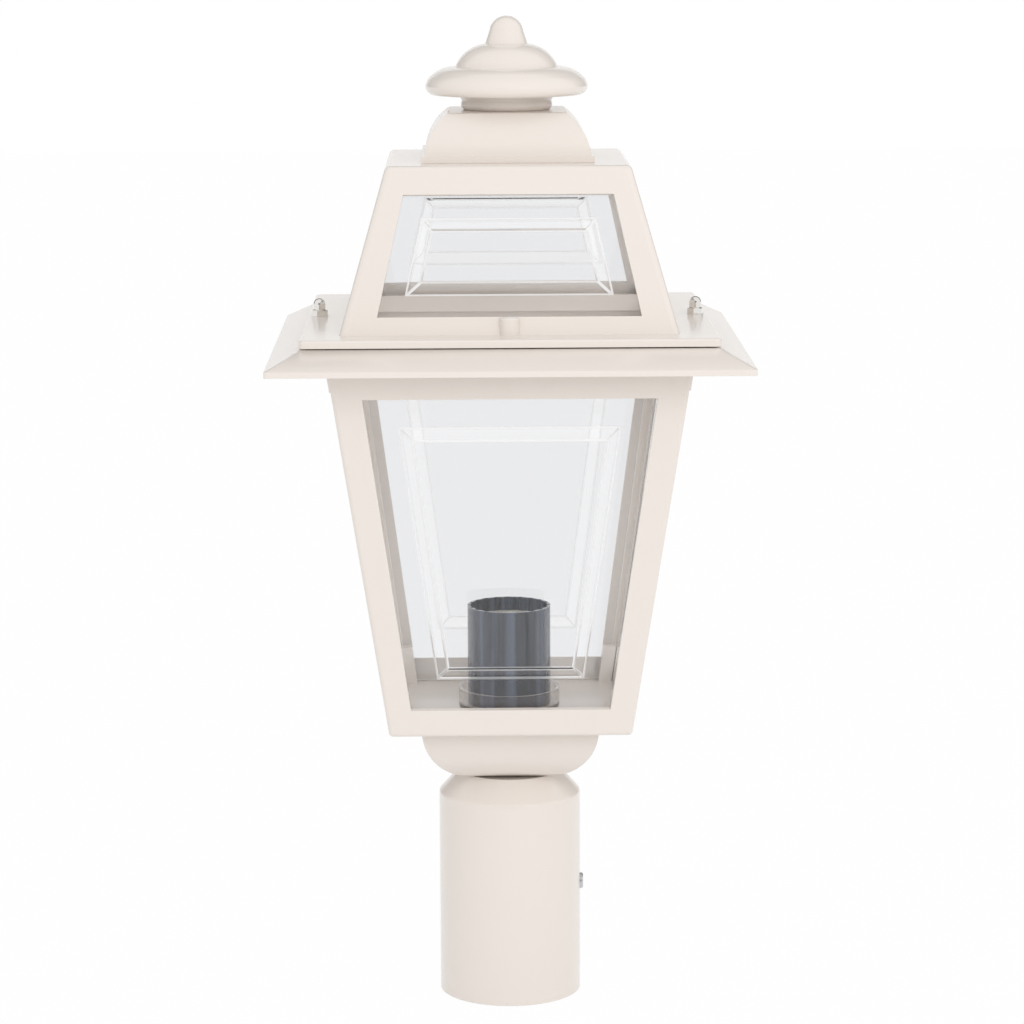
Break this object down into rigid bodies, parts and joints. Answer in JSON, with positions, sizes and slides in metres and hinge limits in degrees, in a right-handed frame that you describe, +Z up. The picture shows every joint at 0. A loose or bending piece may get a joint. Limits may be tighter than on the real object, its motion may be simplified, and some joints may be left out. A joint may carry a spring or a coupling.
{
  "type": "victorian street lantern",
  "caption": "Square tapered post-top lantern with bevelled clear panes, a wide eave, a lift-off glazed roof with a turned finial, and a grey screw lampholder inside.",
  "frame": {"origin": "centre of the post sleeve's open mouth, at the bottom", "axes": "+Z up along the post and the finial, -Y towards the front face of the picture, +X to its right"},
  "size_m": [0.2254, 0.2254, 0.4834],
  "materials": {
    "cream_paint": "satin-gloss cream paint on cast aluminium",
    "clear_acrylic": "clear formed acrylic with a bevelled border",
    "chrome": "polished",
    "zinc_steel": "bright zinc plate",
    "grey_phenolic": "semi-gloss grey moulding",
    "clear_plastic": "smoky clear moulding",
    "white_ceramic": "glazed insulator",
    "brass": "drawn brass"
  },
  "bodies": {
    "base": {"post_socket": "cream_paint", "base_dome": "cream_paint", "body_frame": "cream_paint", "eave_ring": "cream_paint", "body_pane_front": "clear_acrylic", "body_pane_right": "clear_acrylic", "body_pane_rear": "clear_acrylic", "body_pane_left": "clear_acrylic", "eave_screws": "zinc_steel", "roof_stud_left": "zinc_steel", "roof_stud_right": "zinc_steel", "cable_nipple": "zinc_steel", "nipple_washer": "zinc_steel", "nipple_nut_lower": "zinc_steel", "nipple_nut_upper": "zinc_steel", "lampholder_skirt": "grey_phenolic", "lampholder_collar": "clear_plastic", "lampholder_core": "white_ceramic", "lampholder_screw_shell": "brass", "lampholder_contact": "brass"},
    "roof": {"roof_plate": "cream_paint", "roof_tower": "cream_paint", "tower_screws": "zinc_steel", "roof_cap": "cream_paint", "finial": "cream_paint", "finial_rod": "zinc_steel", "finial_washer": "zinc_steel", "finial_nut": "zinc_steel", "roof_pane_front": "clear_acrylic", "roof_pane_right": "clear_acrylic", "roof_pane_rear": "clear_acrylic", "roof_pane_left": "clear_acrylic"},
    "set_screw": {"post_set_screw": "zinc_steel"},
    "nut_left": {"acorn_nut_left": "chrome"},
    "nut_right": {"acorn_nut_right": "chrome"}
  },
  "joints": [
    {"name": "roof_lift", "type": "slide", "parent": "base", "child": "roof", "axis": [0, 0, 1], "range_m": [0, 0.15]},
    {"name": "nut_left_turn", "type": "hinge", "parent": "roof", "child": "nut_left", "pos_m": [-0.0914, 0, 0.339], "axis": [0, 0, 1], "continuous": true},
    {"name": "nut_right_turn", "type": "hinge", "parent": "roof", "child": "nut_right", "pos_m": [0.0914, 0, 0.339], "axis": [0, 0, 1], "continuous": true},
    {"name": "set_screw_travel", "type": "slide", "parent": "base", "child": "set_screw", "axis": [1, 0, 0], "range_m": [-0.0015, 0.003]}
  ]
}
